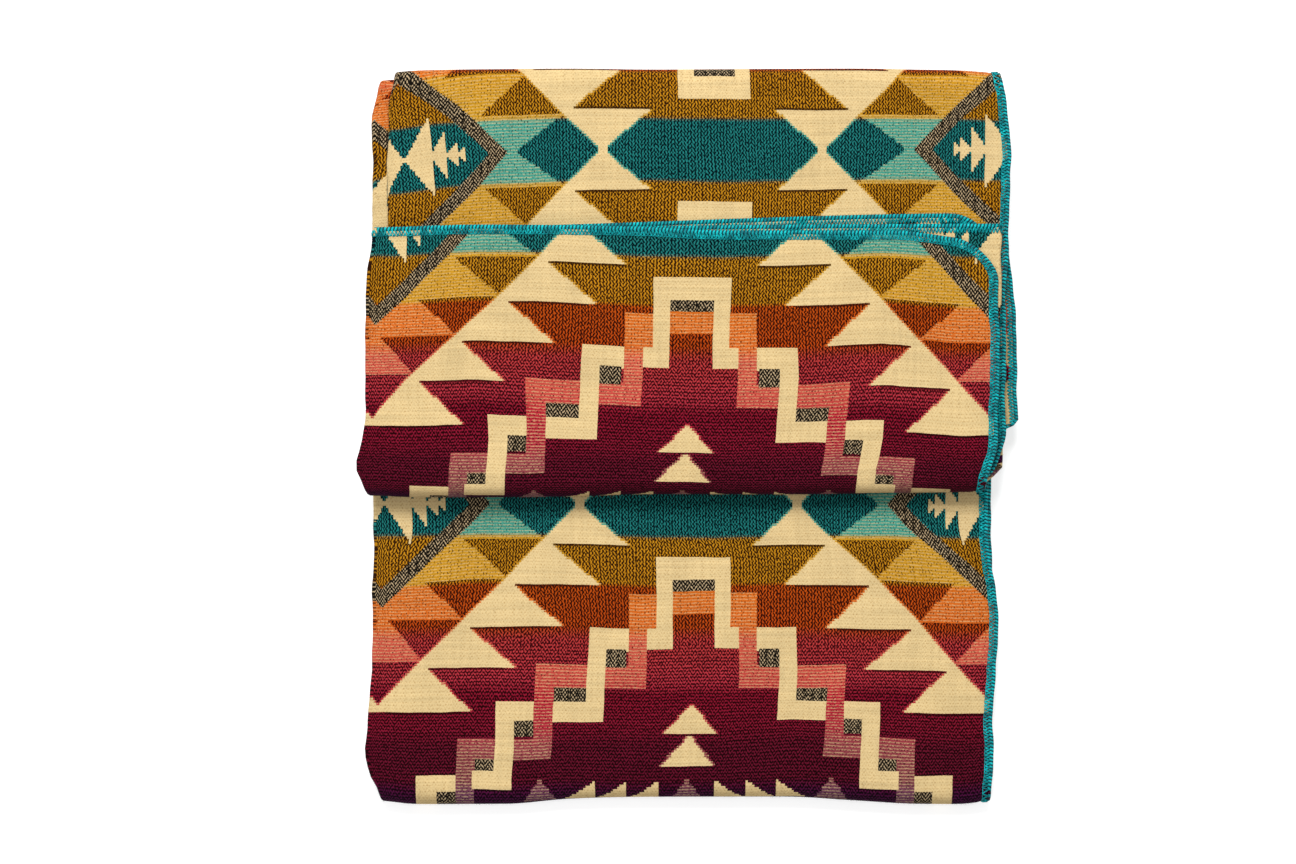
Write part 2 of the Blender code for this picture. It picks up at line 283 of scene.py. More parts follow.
def end_shift(s, t):
    """How far the flap's uneven end draws the cloth out or back here, none at its roll."""
    return smooth_through(s, END_STAGGER) * np.clip(1 - t / PANEL_RUNS["flap"], 0, None)


def folded(s, t, w):
    """Where points of the flat cloth lie on the folded blanket, as an array in metres."""
    x, height = across(s, w, lines_at(t))
    y, z = lengthwise(t, height)
    y = y + end_shift(s, t)
    for column, name in enumerate(TURNS, start=1):
        near = np.clip(np.abs(t - TURN_PLACE[name]) / WANDER_FADE, 0, 1)
        y = y + smooth_through(x, TURN_WANDER, column) * (0.5 + 0.5 * np.cos(math.pi * near))
    return np.stack([x, y, z * pack_height(x, y)], axis=-1) * MM


def rounded(s, t):
    """The flat cloth's corners made round: each ring of the grid there becomes an arc."""
    near_s, near_t = np.minimum(s, CLOTH_WIDE - s), np.minimum(t, CLOTH_LONG - t)
    ring, far = np.minimum(near_s, near_t), np.maximum(near_s, near_t)
    turn = math.radians(45) * (CORNER_RADIUS - far) / (CORNER_RADIUS - np.minimum(ring, CORNER_RADIUS - 1))
    turn = np.where(near_t < near_s, math.radians(90) - turn, turn)
    new_s = CORNER_RADIUS - (CORNER_RADIUS - ring) * np.cos(turn)
    new_t = CORNER_RADIUS - (CORNER_RADIUS - ring) * np.sin(turn)
    corner = far < CORNER_RADIUS
    new_s = np.where(s < CLOTH_WIDE / 2, new_s, CLOTH_WIDE - new_s)
    new_t = np.where(t < CLOTH_LONG / 2, new_t, CLOTH_LONG - new_t)
    return np.where(corner, new_s, s), np.where(corner, new_t, t)


# One thread of the pattern's chart, and the half repeat that mirrors both ways
THREAD = 2.124
HALF_REPEAT = 136
REPEAT = 2 * HALF_REPEAT * THREAD
# Where the pattern's middle line lies on the layers in view: panel, y, x
PATTERN_MIDDLE = (
    ("flap", 187, 4.2),
    ("flap", 0, 4.2),
    ("flap", -35, 3),
    ("flap", -54, 1),
    ("middle", -30, 26),
    ("middle", 320, 26),
    ("lower", 100, 4),
    ("lower", -60, 4),
    ("lower", -115, 5.1),
    ("lower", -180, 4.2),
    ("lower", -230, 2.3),
    ("lower", -275, 0),
    ("lower", -320, -3.2),
    ("under", 300, -3),
)
# Where the pattern's teal line lies on the flap and on the lower panel, and how the middle panel's
# pattern, which is stretched a little, lies about its own teal line
FLAP_TEAL_Y, LOWER_TEAL_Y = 198.2, -60.7
MIDDLE_TEAL_Y, MIDDLE_TEAL, MIDDLE_STRETCH = 257.4, REPEAT - 10.2, 1.055
HIDDEN_Y = 250.0  # the lower panel's pattern makes up for the turned layers between here and y = 0
HIDDEN_PLACE = REPEAT + ROLL_LENGTH + 2 * TOP_FOLD_Y - HIDDEN_Y - 267.6
# Which line of the pattern lies where: panel, y, how far down the pattern from its first teal line
PATTERN_LINES = (
    ("flap", FLAP_END, FLAP_TEAL_Y - FLAP_END),
    ("flap", ROLL_Y, FLAP_TEAL_Y - ROLL_Y),
    ("middle", 180.0, MIDDLE_TEAL + (180.0 - MIDDLE_TEAL_Y) * MIDDLE_STRETCH),
    ("middle", TOP_FOLD_Y, MIDDLE_TEAL + (TOP_FOLD_Y - MIDDLE_TEAL_Y) * MIDDLE_STRETCH),
    ("lower", HIDDEN_Y, HIDDEN_PLACE),
    ("lower", 0.0, 2 * REPEAT + LOWER_TEAL_Y),
    ("lower", BOTTOM_FOLD_Y, 2 * REPEAT + LOWER_TEAL_Y - BOTTOM_FOLD_Y),
    ("under", UNDER_END, 2 * REPEAT + LOWER_TEAL_Y - BOTTOM_FOLD_Y + PANEL_RUNS["under"]),
)
# How far the rows of the middle panel's pattern sag towards the flap: x, how far
MIDDLE_SAG = ((-290, 11), (-263, 9.3), (-239, 5.6), (-211, 3.7), (-165, 1.8), (-80, 0.5))
# How the pattern strays on each panel in view, as the cloth lies a little crooked:
# panel, y, then how far to the right at each of STRAY_X
STRAY_X = (-267, -193, -119, -44, 30, 104, 178, 252)
STRAY_RIGHT = (
    ("flap", 163, -1, -3, -8, -4, 3, 0, -2, -4.5),
    ("flap", 107, -5, -7, -3, -4, -1, -3, -4, -5),
    ("flap", 52, -10, -15, -8, -5, -2, -1, 0, -7),
    ("flap", -4, -9, -11, -9, -9, -5, -6, -5, -7),
    ("flap", -31, -12, -13, -9, -10, -8, -9, -10, -9),
    ("middle", 230, 4, 6, -2, -2, 3, -2, -7, -14),
    ("middle", 286, -1, 1, -3, -1, 0, -3, -4, -13.5),
    ("middle", 313, -5, 1, -4, -1, 1, -5, -4, -14),
    ("lower", -85, 2, 5, -4, -2, -6, -6, -13, -18),
    ("lower", -113, -3, 2, -5, -2, 0, -3, -8, -11),
    ("lower", -168, -1, -4, 3, -1, 0, -3, 1, -5),
    ("lower", -224, -3, -4, 0, 0, 2, 0, -4, -7),
    ("lower", -307, -2, -1, 1, 0, 1, -2, 0, -1),
)
# and how far towards the viewer
STRAY_DOWN = (
    ("flap", 163, 2, -2, -2, 2, 3, 2, -1, 2.5),
    ("flap", 107, 0, -4, -3, 2, 2, 1, -2, 5),
    ("flap", 52, -6, -8, -3, 0, 2, 2, -3, 1),
    ("flap", -4, -3, -5, -3, 1, 3, 2, 3, 8.5),
    ("flap", -31, -8, -6, -6, -2, 0, -1, -1, 5),
    ("middle", 230, 3.5, 1, 0, -1, 1, 0, -2, -1),
    ("middle", 286, -2, 0, -1, -2, -1, 0, -1, -2),
    ("middle", 313, 1, -3, -3, -2, -1, -1, 0, 0),
    ("lower", -85, 1, 1, 1, 3, 4, 2, 2, 4),
    ("lower", -113, 5.5, -2, -1, 2, 2, 0, -1, 3),
    ("lower", -168, 1, 1, 0, 3, 1, 1, 3, 4),
    ("lower", -224, 2, 0, 2, 3, 2, 3, 2, 4),
    ("lower", -252, 4, 2.5, 2.5, 4, 2.5, 1.5, 3, 5),
    ("lower", -280, 2, 1, 3, 4, 5, 0, 0, 4),
    ("lower", -307, 1, 0, 3, 7, 6, 3, 2, 0),
)
# The second layer stands out at the left under the middle panel, and its pattern lies otherwise there:
# where along and across the cloth this begins, and how far it moves
UNDER_FROM = (TURN_PLACE["roll"] + 4.0, PANEL_START["middle"] + 30.0)
UNDER_LAYER = (LAYER_RUNS[0] - 300.0, LAYER_RUNS[0], LAYER_START[1] + 150.0, LAYER_START[2])
UNDER_OUT, UNDER_DOWN = 19.0, 22.5
# and so does the pattern of the fold at the right beside the roll
MIDDLE_FIRST = PANEL_START["middle"]
FOLD_AT_ROLL = (along("flap", 50.0), along("flap", 0.0), MIDDLE_FIRST - 6.0, MIDDLE_FIRST + 40.0)
FOLD_LAYERS = (LAYER_START[1] + 250.0, LAYER_START[2] - 20.0, LAYER_START[2] + 20.0, LAYER_START[3] - 150.0)
FOLD_OUT = 119.0


def stray(table, x, t, turned=()):
    """A value between the rows and columns of a stray table, the other way on the turned panels."""
    rows = []
    for panel, y, *values in table:
        sign = -1 if panel in turned else 1
        rows.append((along(panel, y), *(sign * value for value in values)))
    rows = np.array(sorted(rows))
    columns = [np.interp(t, rows[:, 0], rows[:, column]) for column in range(1, len(STRAY_X) + 1)]
    place = np.clip(np.interp(x, STRAY_X, range(len(STRAY_X))), 0, len(STRAY_X) - 1.001)
    before = place.astype(int)
    columns = np.stack(columns)
    first = np.take_along_axis(columns, before[None], 0)[0]
    second = np.take_along_axis(columns, before[None] + 1, 0)[0]
    return first + (second - first) * (place - before)


def pattern_place(s, t):
    """Where a point of the flat cloth is in the woven pattern, in metres."""
    middle = smooth_through(t, [(along(panel, y), x) for panel, y, x in PATTERN_MIDDLE])
    lines = lines_at(t)
    first_run = (lines[1] + FOLD_REACH - lines[0]) / LAYER_RUNS[0]
    last_run = (lines[4] - lines[3] - FOLD_REACH) / LAYER_RUNS[3]
    first_u = middle - (lines[0] + first_run * s)
    last_u = 3 * REPEAT + lines[3] + FOLD_REACH + last_run * (s - LAYER_START[3]) - middle
    share = np.clip((s - LAYER_START[1]) / (LAYER_START[3] - LAYER_START[1]), 0, 1)
    u_join = middle - lines[1]
    v_join = 3 * REPEAT + lines[3] - middle
    between = u_join + (v_join - u_join) * share
    u = np.where(s < LAYER_RUNS[0], first_u, np.where(s > LAYER_START[3], last_u, between))
    knots = [(along(panel, y), place) for panel, y, place in PATTERN_LINES]
    v = np.interp(t, *zip(*knots)) - end_shift(s, t)
    half = ROLL_LENGTH / 2
    turn_knots = [TURN_PLACE[name] + step for name in TURNS for step in (-half, half)]
    turned = np.interp(t, turn_knots, (0, math.pi, math.pi, 0, 0, math.pi))
    x, height = across(s, 0 * s, lines)
    offset = height - (LAYERS - 1) * PITCH / 2
    made_up = np.interp(t, [*turn_knots[:2], along("lower", HIDDEN_Y), along("lower", 0.0)], (0, 1, 1, 0))
    sagging = np.interp(t, turn_knots[:4], (0, 1, 1, 0))
    v = v + offset * turned + made_up * 1.5 * PITCH * math.pi
    v = v + sagging * np.interp(x, *zip(*MIDDLE_SAG))
    v = v + stray(STRAY_DOWN, x, t, turned=("flap", "lower"))
    u = u + stray(STRAY_RIGHT, x, t) * (1 - 2 * share)
    under_middle = np.interp(t, (*UNDER_FROM, *turn_knots[2:4]), (0, 1, 1, 0))
    under_middle *= np.interp(s, UNDER_LAYER, (0, 1, 1, 0))
    u, v = u - UNDER_OUT * under_middle, v + UNDER_DOWN * under_middle
    at_roll = np.interp(t, FOLD_AT_ROLL, (0, 1, 1, 0)) * np.interp(s, FOLD_LAYERS, (0, 1, 1, 0))
    u = u - FOLD_OUT * at_roll
    return u * MM, v * MM


def spaced(first, last, step):
    """Places from first to last, about this far apart, without the first."""
    count = max(1, round((last - first) / step))
    return [first + (last - first) * index / count for index in range(1, count + 1)]


FINE, COARSE = 9.0, 26.0
EDGE_PLACES = (0.0, 3.0, EDGING_WIDE, 10.0, SWELL_END, 18.0, 26.0, 34.0, CORNER_RADIUS)
columns = list(EDGE_PLACES)
for layer, run in enumerate(LAYER_RUNS):
    outer = layer in (0, LAYERS - 1)
    stop = CLOTH_WIDE - CORNER_RADIUS if layer == LAYERS - 1 else LAYER_START[layer] + run
    columns += spaced(columns[-1], stop, FINE if outer else COARSE)
    if layer < LAYERS - 1:
        columns += spaced(stop, stop + FOLD_LENGTH, FOLD_LENGTH / 8)
columns += [CLOTH_WIDE - place for place in reversed(EDGE_PLACES[:-1])]
rows = list(EDGE_PLACES)
for panel, step in (("flap", FINE), ("middle", FINE), ("lower", FINE), ("under", COARSE)):
    stop = PANEL_START[panel] + PANEL_RUNS[panel]
    if panel == "under":
        stop = CLOTH_LONG - CORNER_RADIUS
    if panel == "lower":
        rows += spaced(rows[-1], along("lower", 0.0), COARSE)
    rows += spaced(rows[-1], stop, step)
    if panel != "under":
        rows += spaced(stop, stop + ROLL_LENGTH, ROLL_LENGTH / 10)
rows += [CLOTH_LONG - place for place in reversed(EDGE_PLACES[:-1])]


def lay_pattern(mesh, s, t, face):
    """The pattern's own map on a mesh, and which of its points are on the cloth's front."""
    u, v = pattern_place(s, t)
    corners = np.zeros(len(mesh.loops), np.int32)
    mesh.loops.foreach_get("vertex_index", corners)
    layer = mesh.uv_layers.new(name="woven_place")
    layer.data.foreach_set("uv", np.stack([u[corners], v[corners]], axis=-1).ravel())
    front = mesh.attributes.new("front", "FLOAT", "POINT")
    front.data.foreach_set("value", (face > 0).astype(np.float32))


def flat_places(mesh):
    """A mesh's points while it is still flat: s, t and w."""
    flat = np.zeros(len(mesh.vertices) * 3, np.float32)
    mesh.vertices.foreach_get("co", flat)
    return flat.reshape(-1, 3).astype(float).T


def move_points(mesh, places):
    """A mesh's points go to their places, and it is shaded smooth."""
    mesh.vertices.foreach_set("co", np.ascontiguousarray(places, np.float32).ravel())
    mesh.update()
    mesh.shade_smooth()


def finished_mesh(name, shape):
    """A mesh of a shape that has been built up so far."""
    mesh = bpy.data.meshes.new(name)
    shape.to_mesh(mesh)
    shape.free()
    return mesh


def add_object(name, data):
    """A new object in the scene."""
    made = bpy.data.objects.new(name, data)
    bpy.context.scene.collection.objects.link(made)
    return made


def add_piece(name, mesh, material):
    """A mesh becomes a piece that rides on the blanket's body."""
    mesh.materials.clear()
    mesh.materials.append(material)
    piece = add_object(name, mesh)
    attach(piece, "root")
    return piece


def link_or_set(tree, socket, value):
    """A socket takes another node's output, or a number, colour or direction of its own."""
    if isinstance(value, bpy.types.NodeSocket):
        tree.links.new(value, socket)
    elif socket.type == "RGBA":
        socket.default_value = (*value, 1.0)
    else:
        socket.default_value = value


def add_node(tree, kind, sockets, **settings):
    """A shader node with its settings, and its sockets linked or set by name or number."""
    node = tree.nodes.new("ShaderNode" + kind)
    for label, value in settings.items():
        setattr(node, label, value)
    for label, value in sockets.items():
        link_or_set(tree, node.inputs[label], value)
    return node


def maths(tree, kind, *values, **settings):
    """One Math node: its values are numbers or other nodes' outputs."""
    return add_node(tree, "Math", dict(enumerate(values)), operation=kind, **settings).outputs[0]


def new_group(name, takes, gives):
    """An empty node group with named sockets, and its two end nodes."""
    tree = bpy.data.node_groups.new(name, "ShaderNodeTree")
    for label, kind in takes:
        tree.interface.new_socket(label, in_out="INPUT", socket_type=kind)
    for label, kind in gives:
        tree.interface.new_socket(label, in_out="OUTPUT", socket_type=kind)
    return tree, tree.nodes.new("NodeGroupInput"), tree.nodes.new("NodeGroupOutput")


def split_place(tree, place):
    """A place's numbers across and down."""
    return add_node(tree, "SeparateXYZ", {0: place}).outputs[:2]


# The chart, in threads from the middle of the pyramid (out) and from the teal line (down).
# Blocks: effect, out from, out to, down from, down to
CHART_BLOCKS = (
    ("cream", 0, 16.2, 23, 33.2),
    ("cream", 8.6, 16.2, 33.2, 63.2),
    ("cream", 8.6, 20.3, 54.2, 63.2),
    ("grey", 0, 8.6, 33.2, 38.4),
    ("light", 0, 8.6, 38.4, 47.7),
    ("light", 16.2, 28.1, 38.6, 54.3),
    ("light", 20.3, 28.1, 54.3, 80.2),
    ("light", 20.3, 67, 70.4, 80.2),
    ("light", 60.2, 68.2, 70.4, 111.2),
    ("light", 60.4, 99.5, 101.6, 111.2),
    ("light", 92.4, 100, 101.6, 136),
    ("cream", 28.1, 46.2, 54.5, 63.5),
    ("cream", 38, 46.2, 54.5, 94.8),
    ("cream", 38.4, 60.3, 86.1, 95),
    ("grey", 28.8, 38, 63.2, 70.6),
    ("grey", 46.2, 60.3, 80, 86),
    ("cream", 68.2, 84.2, 86.1, 94),
    ("cream", 76, 84.2, 86.1, 123.6),
    ("cream", 76.2, 92.6, 116.2, 124),
    ("grey", 68.2, 76, 94, 101.2),
    ("grey", 84.2, 92.4, 111.3, 116.4),
    ("cream", 100, 116.6, 118.1, 125.5),
    ("cream", 108.4, 116.6, 118.1, 136),
    ("grey", 100.2, 108.4, 125.5, 132),
)
# Triangles that stand on a row: effect, middle, half width, apex row, base row, which half is there
CHART_TRIANGLES = (
    ("cream", 0, 11.3, 87.2, 100.4, "both"),
    ("cream", 0, 11.3, 100.7, 114, "both"),
    ("cream", 12.2, 14, 120.6, 129.9, "out"),
    ("cream", 25.9, 14, 120.6, 129.9, "out"),
    ("cream", 39.5, 14, 120.6, 129.9, "out"),
    ("light", 0, 7.4, 119.4, 129.9, "both"),
    ("light", 64, 7.4, 119.4, 129.9, "both"),
)
# The comb of small triangles on the teal line, in from its axis: apex, side, half height
COMB = ((0, 11.8, 17.4), (10.8, 18.3, 10.7), (17.3, 22.7, 5.7), (21.7, 26.2, 3))
CHAIN_START, CHAIN_STEP, CHAIN_COUNT = 48.2, 18.0, 5
CHAIN_LEAN, CHAIN_BACK = 1.14, 5.2  # how the chain's triangles lean, and all but the first stand back
WAIST = 2.2  # half the width of the cream where two chains meet
OUTLINE = 1.1  # the thread of light yarn beside a slanted edge of the cream
BASE_REACH = 33.0
BAND_IN, BAND_OUT = 90.5, 99.3
# The light triangles beside the grey band: apex, first row, last row
SIDE_TRIANGLES = ((87.2, 0, 16), (102.7, 16, 33.5), (118.2, 33.5, 51), (133.7, 51, 68.5))


def fret_chart():
    """The chart as a node group: it takes a place in metres and gives a mask for each effect."""
    takes = (("Place", "NodeSocketVector"),)
    gives = tuple((label, "NodeSocketFloat") for label in ("Cream", "Light", "Grey", "Line", "Down"))
    tree, start, end = new_group("fret_chart", takes, gives)
    calc = partial(maths, tree)

    def threads(socket):
        whole = calc("FLOOR", calc("MULTIPLY", socket, 1 / (THREAD * MM)))
        return calc("PINGPONG", calc("ADD", whole, 0.5), HALF_REPEAT)

    def within(value, low, high):
        return calc("COMPARE", value, (low + high) / 2, (high - low) / 2)

    def joined(kind, masks):
        found = masks[0]
        for mask in masks[1:]:
            found = calc(kind, found, mask)
        return found

    def both(*masks):
        return joined("MULTIPLY", masks)

    out, down = (threads(way) for way in split_place(tree, start.outputs[0]))
    effects = {"cream": [], "light": [], "grey": []}
    for effect, first_out, last_out, first_down, last_down in CHART_BLOCKS:
        mask = both(within(out, first_out, last_out), within(down, first_down, last_down))
        effects[effect].append(mask)
    for effect, middle, half, apex, base, which in CHART_TRIANGLES:
        distance = calc("SUBTRACT", out, middle)
        if which == "both":
            distance = calc("ABSOLUTE", distance)
        reach = calc("MULTIPLY", calc("SUBTRACT", down, apex), half / (base - apex))
        inside = calc("LESS_THAN", distance, reach)
        if which == "out":
            inside = both(inside, calc("GREATER_THAN", distance, 0.0))
        effects[effect].append(both(inside, within(down, apex, base)))
        if which == "both" and effect == "cream":
            beyond = calc("SUBTRACT", distance, reach)
            effects["light"].append(both(within(beyond, 0.0, OUTLINE), within(down, apex, base)))
    axis = calc("SUBTRACT", HALF_REPEAT, out)
    for apex, side, half in COMB:
        reach = calc("MULTIPLY", calc("SUBTRACT", axis, apex), half / (side - apex))
        effects["cream"].append(both(calc("LESS_THAN", down, reach), within(axis, apex, side)))

    diagonal = calc("SUBTRACT", out, down)
    step = calc("FLOOR", calc("DIVIDE", down, CHAIN_STEP))
    in_step = calc("SUBTRACT", down, calc("MULTIPLY", step, CHAIN_STEP))
    first = calc("LESS_THAN", step, 0.5)
    apex = calc("ADD", calc("MULTIPLY", step, CHAIN_STEP), CHAIN_START - CHAIN_BACK)
    apex = calc("ADD", apex, calc("MULTIPLY", first, CHAIN_BACK))
    slope = calc("SUBTRACT", apex, calc("MULTIPLY", in_step, CHAIN_LEAN))
    in_chain = calc("LESS_THAN", down, CHAIN_STEP * CHAIN_COUNT)
    inside = both(calc("LESS_THAN", diagonal, CHAIN_START), in_chain)
    effects["cream"].append(both(calc("GREATER_THAN", out, slope), inside))
    inner_edge = both(within(calc("SUBTRACT", out, slope), -OUTLINE, 0.0), inside)
    outer_edge = both(within(diagonal, CHAIN_START, CHAIN_START + OUTLINE), in_chain)
    effects["light"] += [inner_edge, outer_edge]
    waist = both(within(out, CHAIN_START - WAIST, CHAIN_START + WAIST), calc("LESS_THAN", down, WAIST))
    effects["cream"].append(waist)
    base_line = both(
        calc("LESS_THAN", in_step, 1.0),
        calc("GREATER_THAN", out, calc("SUBTRACT", slope, BASE_REACH)),
        calc("LESS_THAN", out, slope),
        within(down, CHAIN_STEP, CHAIN_STEP * CHAIN_COUNT + 1.0),
    )
    tree.links.new(base_line, end.inputs["Line"])
    effects["grey"].append(within(diagonal, BAND_IN, BAND_OUT))
    beside = within(diagonal, CHAIN_START, BAND_IN)
    for apex_out, first_row, last_row in SIDE_TRIANGLES:
        lean = (apex_out - CHAIN_START - last_row) / (last_row - first_row)
        edge = calc("SUBTRACT", down, first_row)
        edge = calc("SUBTRACT", apex_out, calc("MULTIPLY", edge, lean))
        mask = both(calc("GREATER_THAN", out, edge), within(down, first_row, last_row), beside)
        effects["light"].append(mask)

    for effect, masks in effects.items():
        tree.links.new(joined("MAXIMUM", masks), end.inputs[effect.capitalize()])
    tree.links.new(calc("DIVIDE", down, HALF_REPEAT), end.inputs["Down"])
    return tree


# The bands of colour: how far down the half repeat each begins, its yarn in the dark parts where it
# shows and where it sinks, and its yarn in the light parts
BANDS = (
    (0.000, (0.009, 0.116, 0.108), (0.0003, 0.004, 0.006), (0.036, 0.190, 0.143)),
    (0.098, (0.009, 0.116, 0.108), (0.0003, 0.004, 0.006), (0.036, 0.190, 0.143)),
    (0.108, (0.325, 0.145, 0.006), (0.016, 0.004, 0.001), (0.335, 0.172, 0.010)),
    (0.255, (0.318, 0.131, 0.005), (0.016, 0.004, 0.001), (0.338, 0.162, 0.009)),
    (0.266, (0.300, 0.046, 0.003), (0.018, 0.002, 0.001), (0.384, 0.086, 0.007)),
    (0.395, (0.290, 0.037, 0.003), (0.018, 0.002, 0.001), (0.374, 0.073, 0.008)),
    (0.440, (0.300, 0.026, 0.025), (0.024, 0.001, 0.002), (0.350, 0.054, 0.032)),
    (0.565, (0.270, 0.019, 0.030), (0.022, 0.001, 0.002), (0.325, 0.037, 0.030)),
    (0.610, (0.150, 0.0045, 0.0155), (0.011, 0.0005, 0.001), (0.272, 0.010, 0.020)),
    (0.720, (0.137, 0.005, 0.017), (0.010, 0.0005, 0.001), (0.236, 0.012, 0.024)),
    (0.775, (0.085, 0.004, 0.014), (0.007, 0.0005, 0.001), (0.172, 0.028, 0.036)),
    (0.885, (0.076, 0.0035, 0.0135), (0.006, 0.0005, 0.001), (0.125, 0.029, 0.036)),
    (0.925, (0.046, 0.0035, 0.026), (0.003, 0.0005, 0.002), (0.095, 0.028, 0.056)),
    (1.000, (0.040, 0.004, 0.036), (0.003, 0.0005, 0.003), (0.090, 0.029, 0.066)),
)
CREAM = (0.458, 0.343, 0.170)
CREAM_DEEP = (0.325, 0.212, 0.086)
GREY_PALE = (0.300, 0.222, 0.128)
BLACK = (0.004, 0.003, 0.002)
DRIFT, DRIFT_SCALE = 0.0022, 30.0  # how far the yarns drift from true, in metres, and how closely
# How many threads apart the weave's marks lie: across and down, or one way alone
EYES, FINE_EYES, RIBS, FLOATS = (1.75, 1.9), (1.2, 2.0), 1.35, 1.4
# How each yarn takes its share of the face: of the weave, of the fleck, centre, hardness
DARK_WEAVE = (0.9, 3.2, 0.14, 1.65)
PALE_WEAVE = (0.6, 2.8, 0.36, 1.4)
SUNK_WEAVE = (0.7, 3.0, 0.60, 1.8)
CREAM_WEAVE = (1.0, 2.0, -0.45, 1.1)
GREY_WEAVE = (0.9, 2.6, 0.32, 2.3)


def mixed(tree, share, first, second):
    """A colour between two, by a share."""
    return add_node(tree, "Mix", {0: share, 6: first, 7: second}, data_type="RGBA").outputs[2]


def noise(tree, place, scale, detail=2.0, stretch=(1.0, 1.0, 1.0)):
    """Soft noise over a place in metres, squeezed along each way by its stretch."""
    mapping = add_node(tree, "Mapping", {"Vector": place, "Scale": stretch})
    sockets = {"Vector": mapping.outputs[0], "Scale": scale, "Detail": detail}
    return add_node(tree, "TexNoise", sockets).outputs[0]


def sharpened(tree, value, centre, hardness):
    """A value made nearly black and white about a centre, kept between 0 and 1."""
    return maths(tree, "MULTIPLY_ADD", maths(tree, "SUBTRACT", value, centre), hardness, 0.5, use_clamp=True)


def new_material(name, constants):
    """A material with its constants on its surface's own sockets, and that surface."""
    material = bpy.data.materials.new(name)
    material.use_nodes = True
    surface = material.node_tree.nodes["Principled BSDF"]
    for label, value in constants.items():
        surface.inputs[label].default_value = value
    return material, surface


def add_relief(tree, surface, height, strength, distance):
    """A height in a bump of so many millimetres."""
    sockets = {"Height": height, "Strength": strength, "Distance": distance * MM}
    tree.links.new(add_node(tree, "Bump", sockets).outputs[0], surface.inputs["Normal"])


